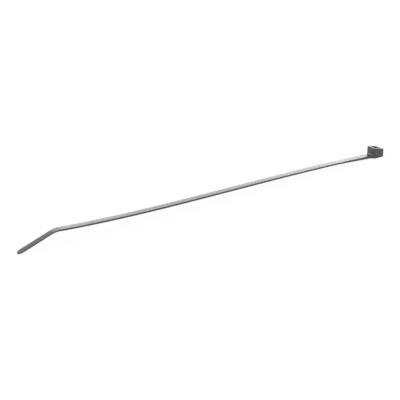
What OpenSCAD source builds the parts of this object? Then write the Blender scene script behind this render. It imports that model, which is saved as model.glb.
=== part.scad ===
// Cable tie: one moulded strip with a toothed strap, a locking head at one end and a thin tail.
// It lies on a floor: the head stands on its base, and the strap bows up and droops to its tip.
// All lengths are in millimetres. +X runs from the tail to the head, and Y = 0 splits it in halves.

/* [Whole tie] */
// Length laid out straight, from the tail's tip to the outer end of the head
tie_length = 300; // [250:5:310]
// Width of the strap
strap_w = 4.8; // [4.5:0.1:5.2]

/* [Strap] */
// Thickness of the strap over its side rails
strap_t = 1.15; // [1.05:0.05:1.3]
// Thickness where the strap leaves the head, flush with the head's base
neck_t = 2; // [1.7:0.1:2.2]
// Length over which the neck's underside rises to the strap's
neck_len = 33; // [26:1:40]
// Radius of the fillet between the neck's top and the head
neck_fillet = 1.6; // [0.8:0.1:2]
// Radius in which the neck's sides flare out to the corners of the head
neck_flare = 2.5; // [1.5:0.1:3]
// Width of the bevel along the four long edges of the strap
edge_bevel = 0.15; // [0.1:0.05:0.25]

/* [Teeth] */
// Distance from one tooth to the next
tooth_pitch = 1.25; // [1.1:0.05:1.4]
// Height of a tooth from its root to its crest
tooth_depth = 0.42; // [0.3:0.02:0.46]
// Flat length on the crest of a tooth
tooth_land = 0.2; // [0.1:0.05:0.3]
// How far the steep face of a tooth leans back from its root to its crest
tooth_lean = 0.06; // [0:0.02:0.1]
// How far the crests lie below the side rails
crest_drop = 0.06; // [0.04:0.02:0.1]
// Width of the smooth rail on each side of the teeth
rail_w = 0.85; // [0.7:0.05:1]
// Smooth length between the head and the first tooth
plain_start = 24; // [22:1:32]
// Smooth length between the last tooth and the bend
plain_end = 4; // [2:1:8]

/* [Tail] */
// Length of the thin tail
tail_len = 25; // [20:0.5:32]
// Width of the tail
tail_w = 4.1; // [3.8:0.1:4.4]
// Thickness of the tail
tail_t = 0.75; // [0.6:0.05:0.9]
// Width that the tail tapers to at its tip
tip_w = 2.8; // [2.6:0.1:3.2]
// Length over which the tail tapers
tip_taper = 4.2; // [3:0.1:6]
// Radius of the two corners of the tip
tip_r = 1.25; // [0.9:0.05:1.3]
// Number of grip ribs under the tail
rib_count = 9; // [4:1:9]
// Distance from one grip rib to the next
rib_pitch = 1.6; // [1.2:0.1:1.8]
// Length of one grip rib along the tail
rib_w = 0.6; // [0.5:0.1:0.8]
// Length of each sloping side of a grip rib
rib_flank = 0.15; // [0.1:0.05:0.2]
// Height of a grip rib
rib_h = 0.2; // [0.1:0.05:0.3]
// Smooth length between the taper and the first grip rib
rib_start = 0.8; // [0.5:0.1:1.2]

/* [Head] */
// Length of the head along the tie
head_l = 9.7; // [9.4:0.1:10]
// Width of the head
head_w = 9; // [8.6:0.1:9.6]
// Height of the head on the strap's side
head_h = 7.9; // [7.8:0.1:8.4]
// Height of the head at its outer end
head_end_h = 5.8; // [5.7:0.1:6.6]
// How far the arched top falls from the middle to the head's sides
head_crown = 0.6; // [0.3:0.05:0.7]
// Radius of the two upright edges on the strap's side
head_corner_r = 1.9; // [1.2:0.1:2.2]
// Radius of the two upright edges at the outer end
head_end_r = 1.7; // [1:0.1:2.2]
// Radius of the edges round the top
head_top_r = 0.8; // [0.5:0.05:0.9]
// Radius of the edges round the base
head_base_r = 0.3; // [0.2:0.05:0.4]
// Thickness of the wall beyond the slot, which the smooth side of the strap leans on
outer_wall = 3.7; // [3.4:0.05:3.9]

/* [Lock] */
// Clearance between the strap and each side of the slot
strap_clear = 0.15; // [0.1:0.05:0.25]
// Flare of the slot at its entry, in the base
lead_in = 0.5; // [0.3:0.1:0.7]
// Flare of the slot at its exit, in the top
lead_out = 0.4; // [0.2:0.1:0.5]
// Number of teeth on the pawl
pawl_teeth = 3; // [2:1:3]
// Thickness of the pawl behind its teeth
pawl_t = 1.2; // [1:0.05:1.3]
// Clearance between the pawl and each side rail of a strap in the slot
pawl_side_clear = 0.15; // [0.1:0.05:0.25]
// Clearance between the pawl's teeth and the strap's teeth
tooth_clear = 0.06; // [0.04:0.01:0.1]
// Height of the floor that the pawl grows from
pawl_floor = 1.9; // [1.7:0.1:2]
// Plain length of the pawl between its floor and its first tooth
hinge_len = 0.5; // [0.4:0.05:0.6]
// Thickness of the pawl at its floor, where it bends
hinge_t = 0.7; // [0.6:0.05:0.8]
// Free room behind the pawl, which it bends back into
flex_gap = 0.8; // [0.6:0.05:0.9]
// Clearance between the pawl and the sides of its chamber
chamber_clear = 0.8; // [0.5:0.1:0.9]
// Bevel on the pawl's back at its tip
pawl_bevel = 0.5; // [0.3:0.1:0.7]

/* [Resting shape] */
// Angle that the strap turns down through, from the head to its middle
sag_turn = 2.5; // [2:0.1:3.5]
// Angle that the strap turns up through, from its middle to the bend
lift_turn = 4; // [3:0.1:5]
// Radius of the bend before the tail
bend_r = 16; // [12:1:20]
// Angle that the tail is bent down through
bend_turn = 23; // [20:1:26]

/* [Hidden] */
nylon_black = [0.09, 0.09, 0.095];
// How far one solid runs into another that it is moulded with
weld = 0.5;
// How far a cut reaches past the face that it opens
reach = 1;
// More than the tie's width or height, for what has to span it all
span = 4 * (head_w + head_h);
// Steps in a rounded edge, in the arch of the head's top, and in the bend
edge_steps = 6;
arch_steps = 10;
bend_steps = 10;
// The strap's outline takes one point for so many teeth, because its bow is slight
teeth_per_point = 4;

// The run is the strap between the head and the bend: a whole number of tooth pitches
bend_len = bend_r * bend_turn * PI / 180;
run_steps = floor((tie_length - head_l - bend_len - tail_len) / tooth_pitch);
// The tail takes up what is left over, so that the whole length comes out right
tail_run = tie_length - head_l - bend_len - run_steps * tooth_pitch;
first_tooth = ceil(plain_start / tooth_pitch);
last_tooth = run_steps - ceil(plain_end / tooth_pitch);

track_w = strap_w - 2 * rail_w;
tooth_root = crest_drop + tooth_depth;
thinning = strap_t - tail_t;
neck_extra = neck_t - strap_t;

// Seen from above, the flare of the neck's side touches the rounded corner of the head.
// Each arc has its centre, and the flare ends at the angle where the two meet.
corner_centre = [head_corner_r, head_w / 2 - head_corner_r];
flare_rise = strap_w / 2 + neck_flare - corner_centre.y;
flare_centre = [
    corner_centre.x - sqrt(pow(neck_flare + head_corner_r, 2) - flare_rise * flare_rise),
    strap_w / 2 + neck_flare
];
flare_end = -asin(flare_rise / (neck_flare + head_corner_r));

// The slot and the pawl, seen from the side: X is measured from the head's inner wall
slot_w = strap_w + 2 * strap_clear;
abutment_x = head_l - outer_wall;
channel_x = abutment_x - strap_t - 2 * strap_clear;
// A strap in the slot has its smooth side to the abutment and its teeth to the pawl
strap_face_x = abutment_x - strap_clear - strap_t;
pawl_root_x = strap_face_x + crest_drop - tooth_clear;
pawl_crest_x = strap_face_x + tooth_root - tooth_clear;
pawl_back_x = pawl_root_x - pawl_t;
chamber_x = pawl_back_x - flex_gap;
pawl_w = track_w - 2 * pawl_side_clear;
chamber_w = pawl_w + 2 * chamber_clear;
tooth_ramp = tooth_pitch - tooth_land - tooth_lean;
first_crest_z = pawl_floor + hinge_len + tooth_ramp;
last_crest_z = first_crest_z + (pawl_teeth - 1) * tooth_pitch;

// The top of the head slopes down from the strap's side to the outer end
top_slope = atan((head_h - head_end_h) / head_l);
function top_z(x) = head_h - (head_h - head_end_h) * x / head_l;

// Slope of the bowed strap before it is laid down, at share u of the run, in degrees
function bow(u) = u < 0.5 ? -4 * sag_turn * u * (1 - u) : lift_turn * pow(2 * u - 1, 2) - sag_turn;

// Stations along the strap's underside, one for each tooth pitch: each is x, z and slope.
// They start at the head and go toward the tail, so x falls, and a positive slope climbs.
run_line = [
    for (i = 0, x = 0, z = 0; i <= run_steps;
        x = x - tooth_pitch * cos(bow((i + 0.5) / run_steps)),
        z = z + tooth_pitch * sin(bow((i + 0.5) / run_steps)),
        i = i + 1)
    [x, z, bow(i / run_steps)]
];
run_end = run_line[run_steps];
bend_line = [
    for (k = [1 : bend_steps])
    let (slope = run_end.z - bend_turn * k / bend_steps)
    [
        run_end.x + bend_r * (sin(slope) - sin(run_end.z)),
        run_end.y + bend_r * (cos(slope) - cos(run_end.z)),
        slope
    ]
];
bend_end = bend_line[bend_steps - 1];
tail_end = [
    bend_end.x - tail_run * cos(bend_end.z),
    bend_end.y + tail_run * sin(bend_end.z),
    bend_end.z
];
free_line = concat(run_line, bend_line, [tail_end]);
bend_station = run_steps + bend_steps;
tip_station = bend_station + 1;

// The strap starts above the floor, as far as the neck is thicker than the strap.
// It is then tilted about its root, until the underside of the tip meets the floor.
tip_x = tail_end.x + thinning * sin(tail_end.z);
tip_z = tail_end.y + thinning * cos(tail_end.z);
rise = -asin(neck_extra / norm([tip_x, tip_z])) - atan(tip_z / -tip_x);
rest_line = [
    for (p = free_line)
    [
        p.x * cos(rise) + p.y * sin(rise),
        p.y * cos(rise) - p.x * sin(rise) + neck_extra,
        p.z + rise
    ]
];

// A point in side view: at a station, then so far toward the tail and so far up from the underside
function at(station, along, up) =
    let (p = rest_line[station])
    [p.x - along * cos(p.z) + up * sin(p.z), p.y + along * sin(p.z) + up * cos(p.z)];

// How far the underside lies above the strap's own at a station: below it in the neck,
// level with it in the run, and above it in the bend and the tail, which are thinner
function under(station) =
    thinning * min(max(station - run_steps, 0) / bend_steps, 1)
    - neck_extra * max(1 - station * tooth_pitch / neck_len, 0);

// The tie's origin is the middle of its box, on the floor
tip_end_x = at(tip_station, 0, strap_t).x;
centre_x = (head_l + tip_end_x) / 2;

function unit(v) = v / norm(v);
function turned(v, a) = [v.x * cos(a) - v.y * sin(a), v.x * sin(a) + v.y * cos(a)];

// Points of an arc of radius r that rounds corner b, between its neighbours a and c
function arc_at(a, b, c, r) =
    let (
        u = unit(a - b),
        v = unit(c - b),
        half = acos(u * v) / 2,
        centre = b + unit(u + v) * r / sin(half),
        first = b + u * r / tan(half) - centre,
        sweep = (cross(u, v) < 0 ? 1 : -1) * (180 - 2 * half)
    )
    [for (k = [0 : edge_steps]) centre + turned(first, sweep * k / edge_steps)];

// An outline with rounded corners: each entry is a corner's place and its radius
function rounded(corners) =
    let (n = len(corners))
    [
        for (i = [0 : n - 1])
        let (
            a = corners[(i + n - 1) % n],
            b = corners[i],
            c = corners[(i + 1) % n]
        )
        each (b.z > 0 ? arc_at([a.x, a.y], [b.x, b.y], [c.x, c.y], b.z) : [[b.x, b.y]])
    ];

// A side view in X and Z, drawn out to a width across the tie
module across(width) {
    rotate([90, 0, 0])
        linear_extrude(height = width, center = true)
            children();
}

// A profile in Y and Z, drawn out to a length along X
module along_x(length) {
    rotate([90, 0, 90])
        linear_extrude(height = length, center = true)
            children();
}

// The strap and tail in side view, without teeth. For a bevel, which slopes across the strap,
// the view is squashed in height, its top and underside are spread apart, and it runs past the tip.
module strap_profile(squash = 1, spread = 0, past = 0) {
    run_points = [for (i = [0 : teeth_per_point : run_steps - 1]) i];
    stations = concat(run_points, [for (i = [run_steps : bend_station]) i]);
    underside = concat(
        [[weld, 0]],
        [for (i = stations) at(i, 0, under(i))],
        [at(tip_station, past, thinning)]
    );
    top = concat([[weld, neck_t]], [for (i = stations) at(i, 0, strap_t)], [at(tip_station, past, strap_t)]);
    polygon(concat(
        [for (p = underside) [p.x, p.y * squash - spread]],
        [for (i = [len(top) - 1 : -1 : 0]) [top[i].x, top[i].y * squash + spread]]
    ));
}

// The strap's side view tilted, to bevel one upper edge and the lower edge across from it
module strap_bevel(tilt) {
    flat_half = strap_w / 2 - edge_bevel;
    rotate([tilt, 0, 0])
        across(span)
            strap_profile(cos(tilt), flat_half * abs(sin(tilt)), reach);
}

// The strap and tail seen from above: it narrows through the bend and tapers to a rounded tip
module strap_plan() {
    half = strap_w / 2;
    tail_half = tail_w / 2;
    tip_half = tip_w / 2;
    run_x = rest_line[run_steps].x;
    bend_x = rest_line[bend_station].x;
    taper_x = tip_end_x + tip_taper;
    polygon(rounded([
        [weld, half, 0], [run_x, half, 0], [bend_x, tail_half, 0], [taper_x, tail_half, 0],
        [tip_end_x, tip_half, tip_r], [tip_end_x, -tip_half, tip_r],
        [taper_x, -tail_half, 0], [bend_x, -tail_half, 0], [run_x, -half, 0], [weld, -half, 0]
    ]));
}

// What the toothed track takes away under the strap, in side view.
// Each tooth has its ramp toward the tail and its steep face toward the head.
module track_profile() {
    teeth = [
        for (i = [first_tooth : last_tooth - 1])
        each [
            at(i, tooth_lean + tooth_land, crest_drop),
            at(i + 1, 0, tooth_root),
            at(i + 1, tooth_lean, crest_drop)
        ]
    ];
    below = [
        for (i = [last_tooth : -teeth_per_point : first_tooth + 1])
        at(i, tooth_lean, -reach)
    ];
    polygon(concat(teeth, below, [at(first_tooth, tooth_lean + tooth_land, -reach)]));
}

// Grip ribs under the tail
module tail_ribs() {
    for (k = [0 : rib_count - 1]) {
        along = -tip_taper - rib_start - k * rib_pitch;
        across(tail_w)
            polygon([
                at(tip_station, along, thinning + weld / 2),
                at(tip_station, along, thinning),
                at(tip_station, along - rib_flank, thinning - rib_h),
                at(tip_station, along - rib_w + rib_flank, thinning - rib_h),
                at(tip_station, along - rib_w, thinning),
                at(tip_station, along - rib_w, thinning + weld / 2)
            ]);
    }
}

// The root of the neck: a fillet over it runs up the head's inner wall, and its sides flare out
module neck_root() {
    top = at(0, 0, strap_t);
    top_next = at(teeth_per_point, 0, strap_t);
    // The corner is where the neck's top runs into the wall, at x = 0
    corner = top + (top_next - top) * top.x / (top.x - top_next.x);
    fillet = arc_at(corner + [0, 1], corner, top_next, neck_fillet);
    flare = [
        for (k = [0 : edge_steps])
        let (a = -90 + (90 + flare_end) * k / edge_steps)
        flare_centre + neck_flare * [cos(a), sin(a)]
    ];
    side = concat(flare, [[weld, corner_centre.y]]);
    intersection() {
        across(span)
            polygon(concat(
                [
                    [weld, 0], at(0, 0, under(0)),
                    at(teeth_per_point, 0, under(teeth_per_point)), top_next
                ],
                [for (k = [edge_steps : -1 : 0]) fillet[k]],
                [[weld, fillet[0].y]]
            ));
        linear_extrude(height = span, center = true)
            polygon(concat(
                side,
                [for (i = [len(side) - 1 : -1 : 0]) [side[i].x, -side[i].y]]
            ));
    }
}

module strap() {
    difference() {
        intersection() {
            across(span)
                strap_profile();
            strap_bevel(45);
            strap_bevel(-45);
            linear_extrude(height = span, center = true)
                strap_plan();
        }
        across(track_w)
            track_profile();
    }
    tail_ribs();
    neck_root();
}

// The head without its slot: a block with rounded edges, and an arched top that slopes down outward
module head_block() {
    half = head_w / 2;
    arch = [
        for (k = [1 : arch_steps - 1])
        let (share = 1 - 2 * k / arch_steps)
        [half * share, -head_crown * share * share, 0]
    ];
    intersection() {
        across(span)
            polygon(rounded([
                [0, 0, head_base_r], [head_l, 0, head_base_r],
                [head_l, head_end_h, head_top_r], [0, head_h, head_top_r]
            ]));
        linear_extrude(height = span, center = true)
            polygon(rounded([
                [0, -half, head_corner_r], [head_l, -half, head_end_r],
                [head_l, half, head_end_r], [0, half, head_corner_r]
            ]));
        translate([0, 0, head_h])
            rotate([0, top_slope, 0])
                along_x(span)
                    polygon(rounded(concat(
                        [[-half, -span, 0], [half, -span, 0], [half, -head_crown, head_top_r]],
                        arch,
                        [[-half, -head_crown, head_top_r]]
                    )));
        along_x(span)
            polygon(rounded([
                [-half, 0, head_base_r], [half, 0, head_base_r],
                [half, span, 0], [-half, span, 0]
            ]));
    }
}

// The flare round the slot's entry: four sides that slope at 45 degrees
module entry_flare() {
    inner = slot_w / 2 - weld / 2;
    outer = slot_w / 2 + lead_in + reach;
    intersection() {
        across(2 * outer)
            polygon([
                [channel_x - lead_in - reach, -reach],
                [abutment_x + lead_in + reach, -reach],
                [abutment_x - weld / 2, lead_in + weld / 2],
                [channel_x + weld / 2, lead_in + weld / 2]
            ]);
        along_x(span)
            polygon([
                [-outer, -reach], [outer, -reach],
                [inner, lead_in + weld / 2], [-inner, lead_in + weld / 2]
            ]);
    }
}

// The same round an opening in the sloping top, between two places along the tie
module exit_flare(from_x, to_x, width) {
    inner = width / 2 - weld / 2;
    outer = width / 2 + lead_out + reach;
    low = -(lead_out + weld / 2) * cos(top_slope);
    high = reach * cos(top_slope);
    intersection() {
        across(2 * outer)
            polygon([
                [from_x - lead_out - reach, top_z(from_x) + reach],
                [to_x + lead_out + reach, top_z(to_x) + reach],
                [to_x - weld / 2, top_z(to_x) - lead_out - weld / 2],
                [from_x + weld / 2, top_z(from_x) - lead_out - weld / 2]
            ]);
        translate([0, 0, head_h])
            rotate([0, top_slope, 0])
                along_x(span)
                    polygon([[-inner, low], [inner, low], [outer, high], [-outer, high]]);
    }
}

// The slot for the strap, with the narrower chamber for the pawl beside it
module lock_cut() {
    across(slot_w)
        polygon([
            [channel_x, -reach], [abutment_x, -reach],
            [abutment_x, head_h + reach], [channel_x, head_h + reach]
        ]);
    across(chamber_w)
        polygon([
            [chamber_x, pawl_floor], [abutment_x, pawl_floor],
            [abutment_x, head_h + reach], [chamber_x, head_h + reach]
        ]);
    entry_flare();
    exit_flare(channel_x, abutment_x, slot_w);
    exit_flare(chamber_x, abutment_x, chamber_w);
}

// The pawl: a springy tongue with teeth that fit those of the strap, at the same pitch.
// Its steep faces look up, so that a strap that is pulled back down is held.
module pawl() {
    teeth = [
        for (k = [0 : pawl_teeth - 1])
        let (crest_z = first_crest_z + k * tooth_pitch)
        each [
            [pawl_root_x, crest_z - tooth_ramp],
            [pawl_crest_x, crest_z],
            [pawl_root_x, crest_z + tooth_lean]
        ]
    ];
    hinge_x = channel_x - hinge_t;
    tip_z = last_crest_z + tooth_lean;
    across(pawl_w)
        polygon(concat(
            [[hinge_x, pawl_floor - weld], [channel_x, pawl_floor - weld], [channel_x, pawl_floor]],
            teeth,
            [
                [pawl_back_x + pawl_bevel, tip_z], [pawl_back_x, tip_z - pawl_bevel],
                [pawl_back_x, first_crest_z], [hinge_x, pawl_floor + hinge_len]
            ]
        ));
}

module head() {
    difference() {
        head_block();
        lock_cut();
    }
    pawl();
}

module cable_tie() {
    color(nylon_black)
        translate([-centre_x, 0, 0]) {
            strap();
            head();
        }
}

cable_tie();
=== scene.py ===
"""A black nylon cable tie, lying bowed on a white studio floor."""
import math

import bmesh
import bpy
from mathutils import Matrix, Vector


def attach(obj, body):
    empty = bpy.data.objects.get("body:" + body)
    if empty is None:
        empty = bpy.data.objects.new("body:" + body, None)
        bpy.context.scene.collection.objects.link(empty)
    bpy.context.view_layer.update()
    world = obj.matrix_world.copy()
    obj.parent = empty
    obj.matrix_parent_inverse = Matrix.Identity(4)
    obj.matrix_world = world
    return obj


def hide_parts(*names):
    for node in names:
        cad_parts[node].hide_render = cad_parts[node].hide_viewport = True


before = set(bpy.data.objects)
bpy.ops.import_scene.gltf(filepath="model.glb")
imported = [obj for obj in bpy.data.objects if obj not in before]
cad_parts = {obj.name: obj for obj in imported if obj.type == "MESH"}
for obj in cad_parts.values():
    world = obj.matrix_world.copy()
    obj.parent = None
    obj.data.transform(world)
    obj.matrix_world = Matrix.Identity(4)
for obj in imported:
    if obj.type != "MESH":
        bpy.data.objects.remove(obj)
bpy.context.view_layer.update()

MM = 0.001

# The tie's sizes in millimetres, those of its solid, apart from the tail's width, its tip and the
# arch of the head's top. With them and the neck's sweep, the skin stays within 0.3 mm of the solid.
TIE_LENGTH = 300.0
STRAP_W, STRAP_T = 4.8, 1.15
NECK_T, NECK_LEN = 2.0, 33.0
NECK_FILLET, NECK_FLARE = 1.6, 2.5
EDGE_R = 0.15
TOOTH_PITCH, TOOTH_DEPTH = 1.25, 0.42
TOOTH_LAND, TOOTH_LEAN = 0.2, 0.06
CREST_DROP, RAIL_W = 0.06, 0.85
PLAIN_START, PLAIN_END = 24.0, 4.0
TAIL_LEN, TAIL_W, TAIL_T = 25.0, 4.3, 0.75
TIP_W, TIP_TAPER, TIP_R = 3.2, 3.6, 1.5
RIB_COUNT, RIB_PITCH, RIB_W = 9, 1.6, 0.6
RIB_FLANK, RIB_H, RIB_START = 0.15, 0.2, 0.8
HEAD_L, HEAD_W, HEAD_H, HEAD_END_H = 9.7, 9.0, 7.9, 5.8
HEAD_CROWN, HEAD_CORNER_R, HEAD_END_R = 0.3, 1.9, 1.7
HEAD_TOP_R, HEAD_BASE_R, OUTER_WALL = 0.8, 0.3, 3.7
STRAP_CLEAR, LEAD_IN, LEAD_OUT = 0.15, 0.5, 0.4
PAWL_TEETH, PAWL_T, PAWL_SIDE_CLEAR = 3, 1.2, 0.15
TOOTH_CLEAR, PAWL_FLOOR, HINGE_LEN, HINGE_T = 0.06, 1.9, 0.5, 0.7
FLEX_GAP, CHAMBER_CLEAR, PAWL_BEVEL = 0.8, 0.8, 0.5
SAG_TURN, LIFT_TURN, BEND_R, BEND_TURN = 2.5, 4.0, 16.0, 23.0

# How far one shape runs into the next before they are joined, and a cut past the surface
WELD = 0.5
CUT_PAST = 1.0
# In metres: points this close are one, and an edge this short is none
SAME_POINT = 1e-7
NO_LENGTH = 1e-8
# Edges that turn more than this stay crisp
CRISP_TURN = math.radians(25)

# Steps in a quarter turn: the strap's edges, the neck's fillet and the tip, then the head's
# corners and top edge, and its base's edge
EDGE_STEPS, FILLET_STEPS, TIP_STEPS = 4, 12, 8
HEAD_STEPS, BASE_STEPS = 20, 4
# Steps along the bend, the plain run before it, the tail up to its ribs, and the tip's taper
BEND_STEPS, PLAIN_STEPS, TAIL_STEPS, TAPER_STEPS = 24, 3, 4, 4
# Longest piece of the neck and the plain strap between two cross-sections
SECTION_STEP = 2.5
# Points across the strap's top between its rounded edges
TOP_POINTS = 11
# Where the strap is narrow, the most of its half width that a rounded edge and the track take
EDGE_SHARE, TRACK_SHARE = 0.9, 0.98
# Pieces in a straight side of the head, rings across its top, and the innermost ring's half width
SIDE_PIECES, TOP_RINGS, INNER_HALF = 6, 8, 0.1
# Smallest corner radius of a ring, and the most of its half width that a corner takes
LEAST_R, CORNER_SHARE = 0.15, 0.95


# The strap's line

BEND_LEN = BEND_R * math.radians(BEND_TURN)
RUN_STEPS = int((TIE_LENGTH - HEAD_L - BEND_LEN - TAIL_LEN) / TOOTH_PITCH)
RUN_LEN = RUN_STEPS * TOOTH_PITCH
STRAP_LEN = TIE_LENGTH - HEAD_L
TAIL_START = RUN_LEN + BEND_LEN
NECK_EXTRA = NECK_T - STRAP_T
THINNING = STRAP_T - TAIL_T


def bow(share):
    """Slope of the bowed run, in degrees, at a share of its length."""
    if share < 0.5:
        return -4 * SAG_TURN * share * (1 - share)
    return LIFT_TURN * (2 * share - 1) ** 2 - SAG_TURN


def free_line():
    """Stations of the strap's underside before it is laid down: distance, x, z, slope."""
    line = []
    x = z = 0.0
    for i in range(RUN_STEPS + 1):
        line.append((i * TOOTH_PITCH, x, z, math.radians(bow(i / RUN_STEPS))))
        slope = math.radians(bow((i + 0.5) / RUN_STEPS))
        x -= TOOTH_PITCH * math.cos(slope)
        z += TOOTH_PITCH * math.sin(slope)
    s0, x0, z0, a0 = line[-1]
    for k in range(1, BEND_STEPS + 1):
        a = a0 - math.radians(BEND_TURN) * k / BEND_STEPS
        line.append((
            s0 + BEND_LEN * k / BEND_STEPS,
            x0 + BEND_R * (math.sin(a) - math.sin(a0)),
            z0 + BEND_R * (math.cos(a) - math.cos(a0)),
            a,
        ))
    s1, x1, z1, a1 = line[-1]
    rest = STRAP_LEN - s1
    line.append((STRAP_LEN, x1 - rest * math.cos(a1), z1 + rest * math.sin(a1), a1))
    return line


def rest_line():
    """The same line, tilted about its root until the tip meets the floor."""
    line = free_line()
    _, x, z, a = line[-1]
    tip_x = x + THINNING * math.sin(a)
    tip_z = z + THINNING * math.cos(a)
    rise = -math.asin(NECK_EXTRA / math.hypot(tip_x, tip_z)) - math.atan(tip_z / -tip_x)
    c, s = math.cos(rise), math.sin(rise)
    return [(d, x * c + z * s, z * c - x * s + NECK_EXTRA, a + rise) for d, x, z, a in line]


LINE = rest_line()
TIP_END_X = LINE[-1][1] + STRAP_T * math.sin(LINE[-1][3])
CENTRE_X = (HEAD_L + TIP_END_X) / 2


def on_line(dist):
    """Place and slope at a distance from the head, where a negative one lies inside it."""
    if dist <= 0:
        _, x, z, a = LINE[0]
        return x - dist, z, 0.0
    for before, after in zip(LINE, LINE[1:]):
        if dist <= after[0] + 1e-9:
            share = (dist - before[0]) / (after[0] - before[0])
            return tuple(p + (q - p) * share for p, q in zip(before[1:], after[1:]))
    return LINE[-1][1:]


# The strap's cross-sections

TOOTH_ROOT = CREST_DROP + TOOTH_DEPTH
TRACK_HALF = STRAP_W / 2 - RAIL_W
# Seen from above, the flare begins at its start and touches the head's rounded corner at its end
FLARE_RISE = STRAP_W / 2 + NECK_FLARE - HEAD_W / 2 + HEAD_CORNER_R
FLARE_REACH = math.sqrt((NECK_FLARE + HEAD_CORNER_R) ** 2 - FLARE_RISE ** 2)
FLARE_START = FLARE_REACH - HEAD_CORNER_R
FLARE_END = FLARE_START - NECK_FLARE * FLARE_REACH / (NECK_FLARE + HEAD_CORNER_R)
# The teeth lie between these numbers of pitches from the head
TEETH_FROM = math.ceil(PLAIN_START / TOOTH_PITCH)
TEETH_TO = RUN_STEPS - math.ceil(PLAIN_END / TOOTH_PITCH)
TRACK_START = TEETH_FROM * TOOTH_PITCH + TOOTH_LEAN + TOOTH_LAND
TRACK_END = TEETH_TO * TOOTH_PITCH + TOOTH_LEAN
RIBS_FROM = STRAP_LEN - TIP_TAPER - RIB_START - (RIB_COUNT - 1) * RIB_PITCH - RIB_W


def half_width(dist):
    """The neck flares into the head, the strap narrows through the bend and tapers to its tip."""
    if dist < FLARE_START:
        along = FLARE_START - max(dist, FLARE_END)
        return STRAP_W / 2 + NECK_FLARE - math.sqrt(NECK_FLARE ** 2 - along ** 2)
    share = min(max((dist - RUN_LEN) / BEND_LEN, 0), 1)
    half = (STRAP_W + (TAIL_W - STRAP_W) * share) / 2
    left = STRAP_LEN - dist
    if left < TIP_TAPER:
        half = (TIP_W + (TAIL_W - TIP_W) * left / TIP_TAPER) / 2
    if left < TIP_R:
        half -= TIP_R - math.sqrt(max(TIP_R ** 2 - (TIP_R - left) ** 2, 0))
    return half


def underside(dist):
    """Height of the underside over the strap's own: lower in the neck, higher in the tail."""
    thin = THINNING * min(max((dist - RUN_LEN) / BEND_LEN, 0), 1)
    return thin - NECK_EXTRA * max(1 - max(dist, 0) / NECK_LEN, 0)


def upside(dist, y):
    """Height of the top, which sweeps up into the head's wall and its rounded corners."""
    past = abs(y) - (HEAD_W / 2 - HEAD_CORNER_R)
    if past > 0:
        dist += HEAD_CORNER_R - math.sqrt(HEAD_CORNER_R ** 2 - past ** 2)
    if dist >= NECK_FILLET:
        return STRAP_T
    reach = NECK_FILLET - max(dist, 0)
    return STRAP_T + NECK_FILLET - math.sqrt(NECK_FILLET ** 2 - reach ** 2)


def corner(y, height, radius, start):
    """A quarter turn round an edge of the strap, as points of y and height."""
    points = []
    for k in range(EDGE_STEPS + 1):
        a = math.radians(start + 90 * k / EDGE_STEPS)
        points.append((y + radius * math.cos(a), height + EDGE_R * math.sin(a)))
    return points


def section(dist, track, rib):
    """One closed cross-section, with a track so deep and a rib so high on its underside."""
    half, low = half_width(dist), underside(dist) - rib
    radius = min(EDGE_R, half * EDGE_SHARE)
    edge = half - radius
    inner = min(TRACK_HALF, edge * TRACK_SHARE)
    high_turn, low_turn = upside(dist, edge) - EDGE_R, low + EDGE_R
    loop = corner(edge, high_turn, radius, 0)
    for k in range(1, TOP_POINTS + 1):
        y = edge - 2 * edge * k / (TOP_POINTS + 1)
        loop.append((y, upside(dist, y)))
    loop += corner(-edge, high_turn, radius, 90)
    loop += corner(-edge, low_turn, radius, 180)
    loop += [(-inner, low), (-inner, low + track), (inner, low + track), (inner, low)]
    loop += corner(edge, low_turn, radius, 270)
    x, z, a = on_line(dist)
    return [Vector((x + h * math.sin(a), y, z + h * math.cos(a))) for y, h in loop]


def stops(start, end, count):
    """The ends of so many equal steps from one place to another."""
    return [start + (end - start) * k / count for k in range(1, count + 1)]


def neck_places():
    """From inside the head along the fillet and the flare, and on to the track."""
    places = [-WELD, FLARE_END, FLARE_END / 2]
    for k in range(FILLET_STEPS + 1):
        places.append(NECK_FILLET * (1 - math.cos(math.radians(90 * k / FILLET_STEPS))))
    places.append(FLARE_START)
    return places + stops(FLARE_START, TRACK_START, math.ceil((TRACK_START - FLARE_START) / SECTION_STEP))


def tail_places():
    """From the track's end through the bend, and down the tail to its ribs."""
    places = [TRACK_END] + stops(TRACK_END, RUN_LEN, PLAIN_STEPS)
    places += stops(RUN_LEN, TAIL_START, BEND_STEPS)
    return places + stops(TAIL_START, RIBS_FROM, TAIL_STEPS)[:-1]


def tip_places():
    """Along the tip's taper and round its end."""
    taper = STRAP_LEN - TIP_TAPER
    places = [taper] + stops(taper, STRAP_LEN - TIP_R, TAPER_STEPS)
    for k in range(1, TIP_STEPS + 1):
        places.append(STRAP_LEN - TIP_R * (1 - math.sin(math.radians(90 * k / TIP_STEPS))))
    return places


def tooth_sections(pitches):
    """From one tooth's crest down its ramp, and up the next one's steep face."""
    base = pitches * TOOTH_PITCH
    return [(base + TOOTH_LEAN + TOOTH_LAND, CREST_DROP, 0), (base + TOOTH_PITCH, TOOTH_ROOT, 0),
            (base + TOOTH_PITCH + TOOTH_LEAN, CREST_DROP, 0)]


def rib_sections(number):
    """One grip rib with its two flanks."""
    at = RIBS_FROM + number * RIB_PITCH
    return [(at, 0, 0), (at + RIB_FLANK, 0, RIB_H),
            (at + RIB_W - RIB_FLANK, 0, RIB_H), (at + RIB_W, 0, 0)]


def strap():
    """The strap with its neck and tail. A section has a place, a track's depth and a rib's height."""
    plan = [(place, 0, 0) for place in neck_places()]
    for pitches in range(TEETH_FROM, TEETH_TO):
        plan += tooth_sections(pitches)
    plan += [(place, 0, 0) for place in tail_places()]
    for number in range(RIB_COUNT):
        plan += rib_sections(number)
    plan += [(place, 0, 0) for place in tip_places()]
    return mesh_from("strap", [section(*entry) for entry in plan])


# Meshes

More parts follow.
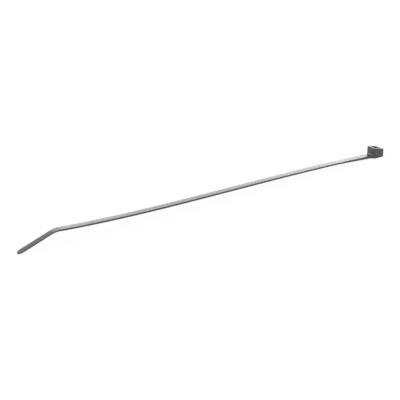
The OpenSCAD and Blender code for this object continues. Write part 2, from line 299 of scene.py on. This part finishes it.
def mesh_from(name, rings):
    """A closed skin over rings of as many points each."""
    bm = bmesh.new()
    rows = [[bm.verts.new(p * MM) for p in ring] for ring in rings]
    for low, high in zip(rows, rows[1:]):
        for i in range(len(low)):
            j = (i + 1) % len(low)
            bm.faces.new((low[i], low[j], high[j], high[i]))
    bm.faces.new(rows[0][::-1])
    bm.faces.new(rows[-1])
    bmesh.ops.remove_doubles(bm, verts=bm.verts, dist=SAME_POINT)
    bmesh.ops.dissolve_degenerate(bm, edges=bm.edges, dist=NO_LENGTH)
    bmesh.ops.recalc_face_normals(bm, faces=bm.faces)
    mesh = bpy.data.meshes.new(name)
    bm.to_mesh(mesh)
    bm.free()
    obj = bpy.data.objects.new(name, mesh)
    bpy.context.scene.collection.objects.link(obj)
    return obj


def combine(obj, other, operation):
    """Join another shape to this one, or cut it out, and keep the result as a mesh."""
    step = obj.modifiers.new(operation, "BOOLEAN")
    step.operation = operation
    step.solver = "MANIFOLD"
    step.object = other
    graph = bpy.context.evaluated_depsgraph_get()
    mesh = bpy.data.meshes.new_from_object(obj.evaluated_get(graph))
    obj.modifiers.clear()
    obj.data = mesh
    bpy.data.objects.remove(other)


def finish_mesh(obj):
    """Move the moulding to the part's origin and shade its rounded edges smooth."""
    obj.data.transform(Matrix.Translation((-CENTRE_X * MM, 0, 0)))
    bm = bmesh.new()
    bm.from_mesh(obj.data)
    bmesh.ops.remove_doubles(bm, verts=bm.verts, dist=SAME_POINT)
    for face in bm.faces:
        face.smooth = True
    for edge in bm.edges:
        edge.smooth = len(edge.link_faces) == 2 and edge.calc_face_angle(0) < CRISP_TURN
    bm.to_mesh(obj.data)
    bm.free()
    weighted = obj.modifiers.new("even shading", "WEIGHTED_NORMAL")
    weighted.keep_sharp = True


# The head

def top_z(x, y=0.0):
    """Height of the head's top, which slopes down outward and falls off toward its sides."""
    slope = (HEAD_H - HEAD_END_H) * x / HEAD_L
    return HEAD_H - slope - HEAD_CROWN * (y / (HEAD_W / 2)) ** 4


def head_outline(inset):
    """The head seen from above, drawn in by so much: its rounded corners and its sides."""
    x0, x1, half = inset, HEAD_L - inset, HEAD_W / 2 - inset
    points = []
    corners = ((x1, half, HEAD_END_R, 0), (x0, half, HEAD_CORNER_R, 90),
               (x0, -half, HEAD_CORNER_R, 180), (x1, -half, HEAD_END_R, 270))
    for x, y, radius, start in corners:
        r = min(max(radius - inset, LEAST_R), half * CORNER_SHARE)
        cx = x - r if x == x1 else x + r
        cy = y - r if y > 0 else y + r
        for k in range(HEAD_STEPS + 1):
            a = math.radians(start + 90 * k / HEAD_STEPS)
            points.append((cx + r * math.cos(a), cy + r * math.sin(a)))
    return with_sides(points)


def with_sides(points):
    """The same outline with points added along its four straight sides."""
    full = []
    for i, p in enumerate(points):
        full.append(p)
        if i % (HEAD_STEPS + 1) == HEAD_STEPS:
            q = points[(i + 1) % len(points)]
            for k in range(1, SIDE_PIECES):
                share = k / SIDE_PIECES
                full.append((p[0] + (q[0] - p[0]) * share, p[1] + (q[1] - p[1]) * share))
    return full


def head_block():
    """Rings from the base's edge up the walls, round the top's edge and in across the top."""
    rings = []
    for k in range(BASE_STEPS + 1):
        a = math.radians(90 * k / BASE_STEPS)
        outline = head_outline(HEAD_BASE_R * (1 - math.sin(a)))
        rings.append([Vector((x, y, HEAD_BASE_R * (1 - math.cos(a)))) for x, y in outline])
    for k in range(HEAD_STEPS + 1):
        a = math.radians(90 * k / HEAD_STEPS)
        outline = head_outline(HEAD_TOP_R * (1 - math.cos(a)))
        drop = HEAD_TOP_R * (1 - math.sin(a))
        rings.append([Vector((x, y, top_z(x, y) - drop)) for x, y in outline])
    across = HEAD_W / 2 - INNER_HALF - HEAD_TOP_R
    for k in range(1, TOP_RINGS + 1):
        outline = head_outline(HEAD_TOP_R + across * k / TOP_RINGS)
        rings.append([Vector((x, y, top_z(x, y))) for x, y in outline])
    return mesh_from("head", rings)


# The slot and the pawl, by their places along the head and up it

SLOT_HALF = STRAP_W / 2 + STRAP_CLEAR
ABUTMENT_X = HEAD_L - OUTER_WALL
CHANNEL_X = ABUTMENT_X - STRAP_T - 2 * STRAP_CLEAR
STRAP_FACE_X = ABUTMENT_X - STRAP_CLEAR - STRAP_T
PAWL_ROOT_X = STRAP_FACE_X + CREST_DROP - TOOTH_CLEAR
PAWL_CREST_X = STRAP_FACE_X + TOOTH_ROOT - TOOTH_CLEAR
PAWL_BACK_X = PAWL_ROOT_X - PAWL_T
CHAMBER_X = PAWL_BACK_X - FLEX_GAP
PAWL_HALF = TRACK_HALF - PAWL_SIDE_CLEAR
CHAMBER_HALF = PAWL_HALF + CHAMBER_CLEAR
TOOTH_RAMP = TOOTH_PITCH - TOOTH_LAND - TOOTH_LEAN
FIRST_CREST_Z = PAWL_FLOOR + HINGE_LEN + TOOTH_RAMP


def opening_ring(near_x, half, grow, height):
    """One ring of an opening, so much wider all round, with a height for each x."""
    corners = ((near_x - grow, -half - grow), (ABUTMENT_X + grow, -half - grow),
               (ABUTMENT_X + grow, half + grow), (near_x - grow, half + grow))
    return [Vector((x, y, height(x))) for x, y in corners]


def channel():
    """What the strap's way through the head takes out, flared at the base and at the top."""
    return mesh_from("channel", [
        opening_ring(CHANNEL_X, SLOT_HALF, LEAD_IN + CUT_PAST, lambda x: -CUT_PAST),
        opening_ring(CHANNEL_X, SLOT_HALF, 0, lambda x: LEAD_IN),
        opening_ring(CHANNEL_X, SLOT_HALF, 0, lambda x: top_z(x) - LEAD_OUT),
        opening_ring(CHANNEL_X, SLOT_HALF, LEAD_OUT + CUT_PAST, lambda x: top_z(x) + CUT_PAST),
    ])


def chamber():
    """What the pawl's chamber takes out, from its floor up, flared at the top."""
    return mesh_from("chamber", [
        opening_ring(CHAMBER_X, CHAMBER_HALF, 0, lambda x: PAWL_FLOOR),
        opening_ring(CHAMBER_X, CHAMBER_HALF, 0, lambda x: top_z(x) - LEAD_OUT),
        opening_ring(CHAMBER_X, CHAMBER_HALF, LEAD_OUT + CUT_PAST, lambda x: top_z(x) + CUT_PAST),
    ])


def pawl():
    """The springy tongue, whose teeth match the strap's and look up with their steep faces."""
    tip = FIRST_CREST_Z + (PAWL_TEETH - 1) * TOOTH_PITCH + TOOTH_LEAN
    hinge_x = CHANNEL_X - HINGE_T
    side = [(hinge_x, PAWL_FLOOR - WELD), (CHANNEL_X, PAWL_FLOOR - WELD), (CHANNEL_X, PAWL_FLOOR)]
    for k in range(PAWL_TEETH):
        crest = FIRST_CREST_Z + k * TOOTH_PITCH
        side += [(PAWL_ROOT_X, crest - TOOTH_RAMP), (PAWL_CREST_X, crest),
                 (PAWL_ROOT_X, crest + TOOTH_LEAN)]
    side += [(PAWL_BACK_X + PAWL_BEVEL, tip), (PAWL_BACK_X, tip - PAWL_BEVEL),
             (PAWL_BACK_X, FIRST_CREST_Z), (hinge_x, PAWL_FLOOR + HINGE_LEN)]
    return mesh_from("pawl", [[Vector((x, y, z)) for x, z in side] for y in (-PAWL_HALF, PAWL_HALF)])


def moulding():
    """The whole tie as one skin."""
    tie = head_block()
    combine(tie, channel(), "DIFFERENCE")
    combine(tie, chamber(), "DIFFERENCE")
    combine(tie, pawl(), "UNION")
    combine(tie, strap(), "UNION")
    tie.name = tie.data.name = "moulded_tie"
    finish_mesh(tie)
    return tie


# Materials

# The nylon's colour where the flow marks are darkest and where they are lightest
NYLON_DARK = (0.0495, 0.0455, 0.0465, 1)
NYLON_LIGHT = (0.0585, 0.0545, 0.0555, 1)
NYLON_IOR = 1.53
# Scales of the flow marks, the uneven gloss and the grain, with the marks drawn out along the strap
FLOW_SCALE, GLOSS_SCALE, GRAIN_SCALE = 300, 1800, 6000
FLOW_STRETCH = (0.08, 1, 1)
# Nearly all of a noise's values lie in this span
NOISE_SPAN = (0.3, 0.7)
# Roughness across the flow marks, and what the uneven gloss adds to it
FLOW_ROUGHNESS = (0.24, 0.30)
GLOSS_ROUGHNESS = (-0.02, 0.03)
GRAIN_STRENGTH, GRAIN_DEPTH = 0.15, 0.02 * MM


def noise(tree, scale, detail, stretch=(1, 1, 1)):
    """Noise fixed to the object, drawn out along an axis where the stretch is under one."""
    place = tree.nodes.new("ShaderNodeTexCoord")
    mapping = tree.nodes.new("ShaderNodeMapping")
    mapping.inputs["Scale"].default_value = stretch
    tree.links.new(place.outputs["Object"], mapping.inputs["Vector"])
    texture = tree.nodes.new("ShaderNodeTexNoise")
    texture.inputs["Scale"].default_value = scale
    texture.inputs["Detail"].default_value = detail
    tree.links.new(mapping.outputs["Vector"], texture.inputs["Vector"])
    return texture.outputs["Fac"]


def mapped(tree, value, span, result, ease="LINEAR"):
    """A value's span turned into a span of results."""
    node = tree.nodes.new("ShaderNodeMapRange")
    node.interpolation_type = ease
    node.inputs["From Min"].default_value, node.inputs["From Max"].default_value = span
    node.inputs["To Min"].default_value, node.inputs["To Max"].default_value = result
    tree.links.new(value, node.inputs["Value"])
    return node.outputs["Result"]


def nylon_colour(tree, flow):
    tint = tree.nodes.new("ShaderNodeValToRGB")
    for stop, place, colour in zip(tint.color_ramp.elements, NOISE_SPAN, (NYLON_DARK, NYLON_LIGHT)):
        stop.position = place
        stop.color = colour
    tree.links.new(flow, tint.inputs["Fac"])
    return tint.outputs["Color"]


def nylon_roughness(tree, flow):
    gloss = noise(tree, GLOSS_SCALE, 2)
    total = tree.nodes.new("ShaderNodeMath")
    total.operation = "ADD"
    tree.links.new(mapped(tree, flow, NOISE_SPAN, FLOW_ROUGHNESS), total.inputs[0])
    tree.links.new(mapped(tree, gloss, NOISE_SPAN, GLOSS_ROUGHNESS), total.inputs[1])
    return total.outputs["Value"]


def nylon_grain(tree):
    bump = tree.nodes.new("ShaderNodeBump")
    bump.inputs["Strength"].default_value = GRAIN_STRENGTH
    bump.inputs["Distance"].default_value = GRAIN_DEPTH
    tree.links.new(noise(tree, GRAIN_SCALE, 2), bump.inputs["Height"])
    return bump.outputs["Normal"]


def nylon():
    """Satin black nylon, with soft flow marks along the strap and a faint grain."""
    material = bpy.data.materials.new("black_nylon")
    material.use_nodes = True
    tree = material.node_tree
    shader = tree.nodes["Principled BSDF"]
    shader.inputs["IOR"].default_value = NYLON_IOR
    flow = noise(tree, FLOW_SCALE, 3, FLOW_STRETCH)
    tree.links.new(nylon_colour(tree, flow), shader.inputs["Base Color"])
    tree.links.new(nylon_roughness(tree, flow), shader.inputs["Roughness"])
    tree.links.new(nylon_grain(tree), shader.inputs["Normal"])
    return material


# The studio

# The photograph's camera: its direction and distance from what it aims at, in degrees and metres,
# and its focal length in pixels
IMAGE_W = 400
FOCAL_PX = 1278.3
SENSOR_W = 36
CAMERA_TARGET = Vector((-12.844, 0, 2.857)) * MM
CAMERA_AZIMUTH, CAMERA_ELEVATION = -35.662, 22.309
CAMERA_DISTANCE = 0.8483
NEAREST_SEEN = 0.01
# What the lamps aim at and how far off they stand, in metres
LAMP_TARGET = Vector((0, 0, 0.004))
LAMP_DISTANCE = 1.4
# Strength of the surroundings as light, and as a mirror image behind the object and in front
SKY_LEVEL = 1.0
BEHIND_LEVEL, FRONT_LEVEL = 1.0, 0.4
# The mirror image changes between these directions, as their part along Y
FRONT_TO_BEHIND = (-0.3, 0.6)
FLOOR_SIZE = 8
FLOOR_PAINT = (0.9, 0.9, 0.9, 1)
# Share of plain white in the floor as the camera sees it, the rest being paint that takes shadow
FLOOR_WHITE = 0.93


def facing(azimuth, elevation):
    """Direction from the object toward a viewer or a lamp."""
    a, e = math.radians(azimuth), math.radians(elevation)
    return Vector((math.sin(a) * math.cos(e), -math.cos(a) * math.cos(e), math.sin(e)))


def aim(obj, target, back, distance):
    """Stand so far back from a target and look at it."""
    obj.location = target + back * distance
    obj.rotation_euler = back.to_track_quat("Z", "Y").to_euler()


def camera():
    cam = bpy.data.objects.new("camera", bpy.data.cameras.new("camera"))
    bpy.context.scene.collection.objects.link(cam)
    cam.data.sensor_width = SENSOR_W
    cam.data.lens = SENSOR_W * FOCAL_PX / IMAGE_W
    cam.data.clip_start = NEAREST_SEEN
    aim(cam, CAMERA_TARGET, facing(CAMERA_AZIMUTH, CAMERA_ELEVATION), CAMERA_DISTANCE)
    bpy.context.scene.camera = cam


def softbox(name, azimuth, elevation, width, height, radiance):
    """A rectangular lamp that faces the tie."""
    lamp = bpy.data.lights.new(name, "AREA")
    lamp.shape = "RECTANGLE"
    lamp.size, lamp.size_y = width, height
    lamp.energy = radiance * math.pi * width * height
    obj = bpy.data.objects.new(name, lamp)
    bpy.context.scene.collection.objects.link(obj)
    aim(obj, LAMP_TARGET, facing(azimuth, elevation), LAMP_DISTANCE)


def seen_directly(tree):
    """One for camera and mirror rays, and nought for those that only light the object."""
    rays = tree.nodes.new("ShaderNodeLightPath")
    either = tree.nodes.new("ShaderNodeMath")
    either.operation = "MAXIMUM"
    tree.links.new(rays.outputs["Is Camera Ray"], either.inputs[0])
    tree.links.new(rays.outputs["Is Glossy Ray"], either.inputs[1])
    return either.outputs["Value"]


def surroundings():
    """Even light, white for the camera, and for mirror rays white behind and dimmer in front."""
    world = bpy.data.worlds.new("studio")
    bpy.context.scene.world = world
    world.use_nodes = True
    tree = world.node_tree
    sky = tree.nodes["Background"]
    sky.inputs["Color"].default_value = (1, 1, 1, 1)
    place = tree.nodes.new("ShaderNodeTexCoord")
    split = tree.nodes.new("ShaderNodeSeparateXYZ")
    tree.links.new(place.outputs["Generated"], split.inputs["Vector"])
    mirrored = mapped(tree, split.outputs["Y"], FRONT_TO_BEHIND, (FRONT_LEVEL, BEHIND_LEVEL), "SMOOTHSTEP")
    rays = tree.nodes.new("ShaderNodeLightPath")
    glossy = tree.nodes.new("ShaderNodeMix")
    glossy.inputs["A"].default_value = SKY_LEVEL
    tree.links.new(rays.outputs["Is Glossy Ray"], glossy.inputs["Factor"])
    tree.links.new(mirrored, glossy.inputs["B"])
    seen = tree.nodes.new("ShaderNodeMix")
    seen.inputs["B"].default_value = 1.0
    tree.links.new(rays.outputs["Is Camera Ray"], seen.inputs["Factor"])
    tree.links.new(glossy.outputs["Result"], seen.inputs["A"])
    tree.links.new(seen.outputs["Result"], sky.inputs["Strength"])


def floor():
    """Pale paint that takes the shadow, under plain white for camera and mirror rays."""
    bpy.ops.mesh.primitive_plane_add(size=FLOOR_SIZE)
    plane = bpy.context.object
    plane.name = "floor"
    material = bpy.data.materials.new("white_floor")
    material.use_nodes = True
    tree = material.node_tree
    paint = tree.nodes["Principled BSDF"]
    paint.inputs["Base Color"].default_value = FLOOR_PAINT
    paint.inputs["Roughness"].default_value = 1
    paint.inputs["Specular IOR Level"].default_value = 0
    white = tree.nodes.new("ShaderNodeEmission")
    mix = tree.nodes.new("ShaderNodeMixShader")
    tree.links.new(mapped(tree, seen_directly(tree), (0, 1), (0, FLOOR_WHITE)), mix.inputs["Fac"])
    tree.links.new(paint.outputs["BSDF"], mix.inputs[1])
    tree.links.new(white.outputs["Emission"], mix.inputs[2])
    tree.links.new(mix.outputs["Shader"], tree.nodes["Material Output"].inputs["Surface"])
    plane.data.materials.append(material)


camera()
tie = moulding()
tie.data.materials.clear()
tie.data.materials.append(nylon())
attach(tie, "root")
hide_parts("cable_tie")

surroundings()
floor()
softbox("tall_back_softbox", azimuth=165, elevation=25, width=0.4, height=1.0, radiance=2.0)
softbox("low_right_softbox", azimuth=140, elevation=15, width=0.8, height=0.26, radiance=4.65)
softbox("left_back_softbox", azimuth=205, elevation=25, width=0.8, height=0.55, radiance=4.0)

bpy.context.scene.view_settings.view_transform = "Standard"
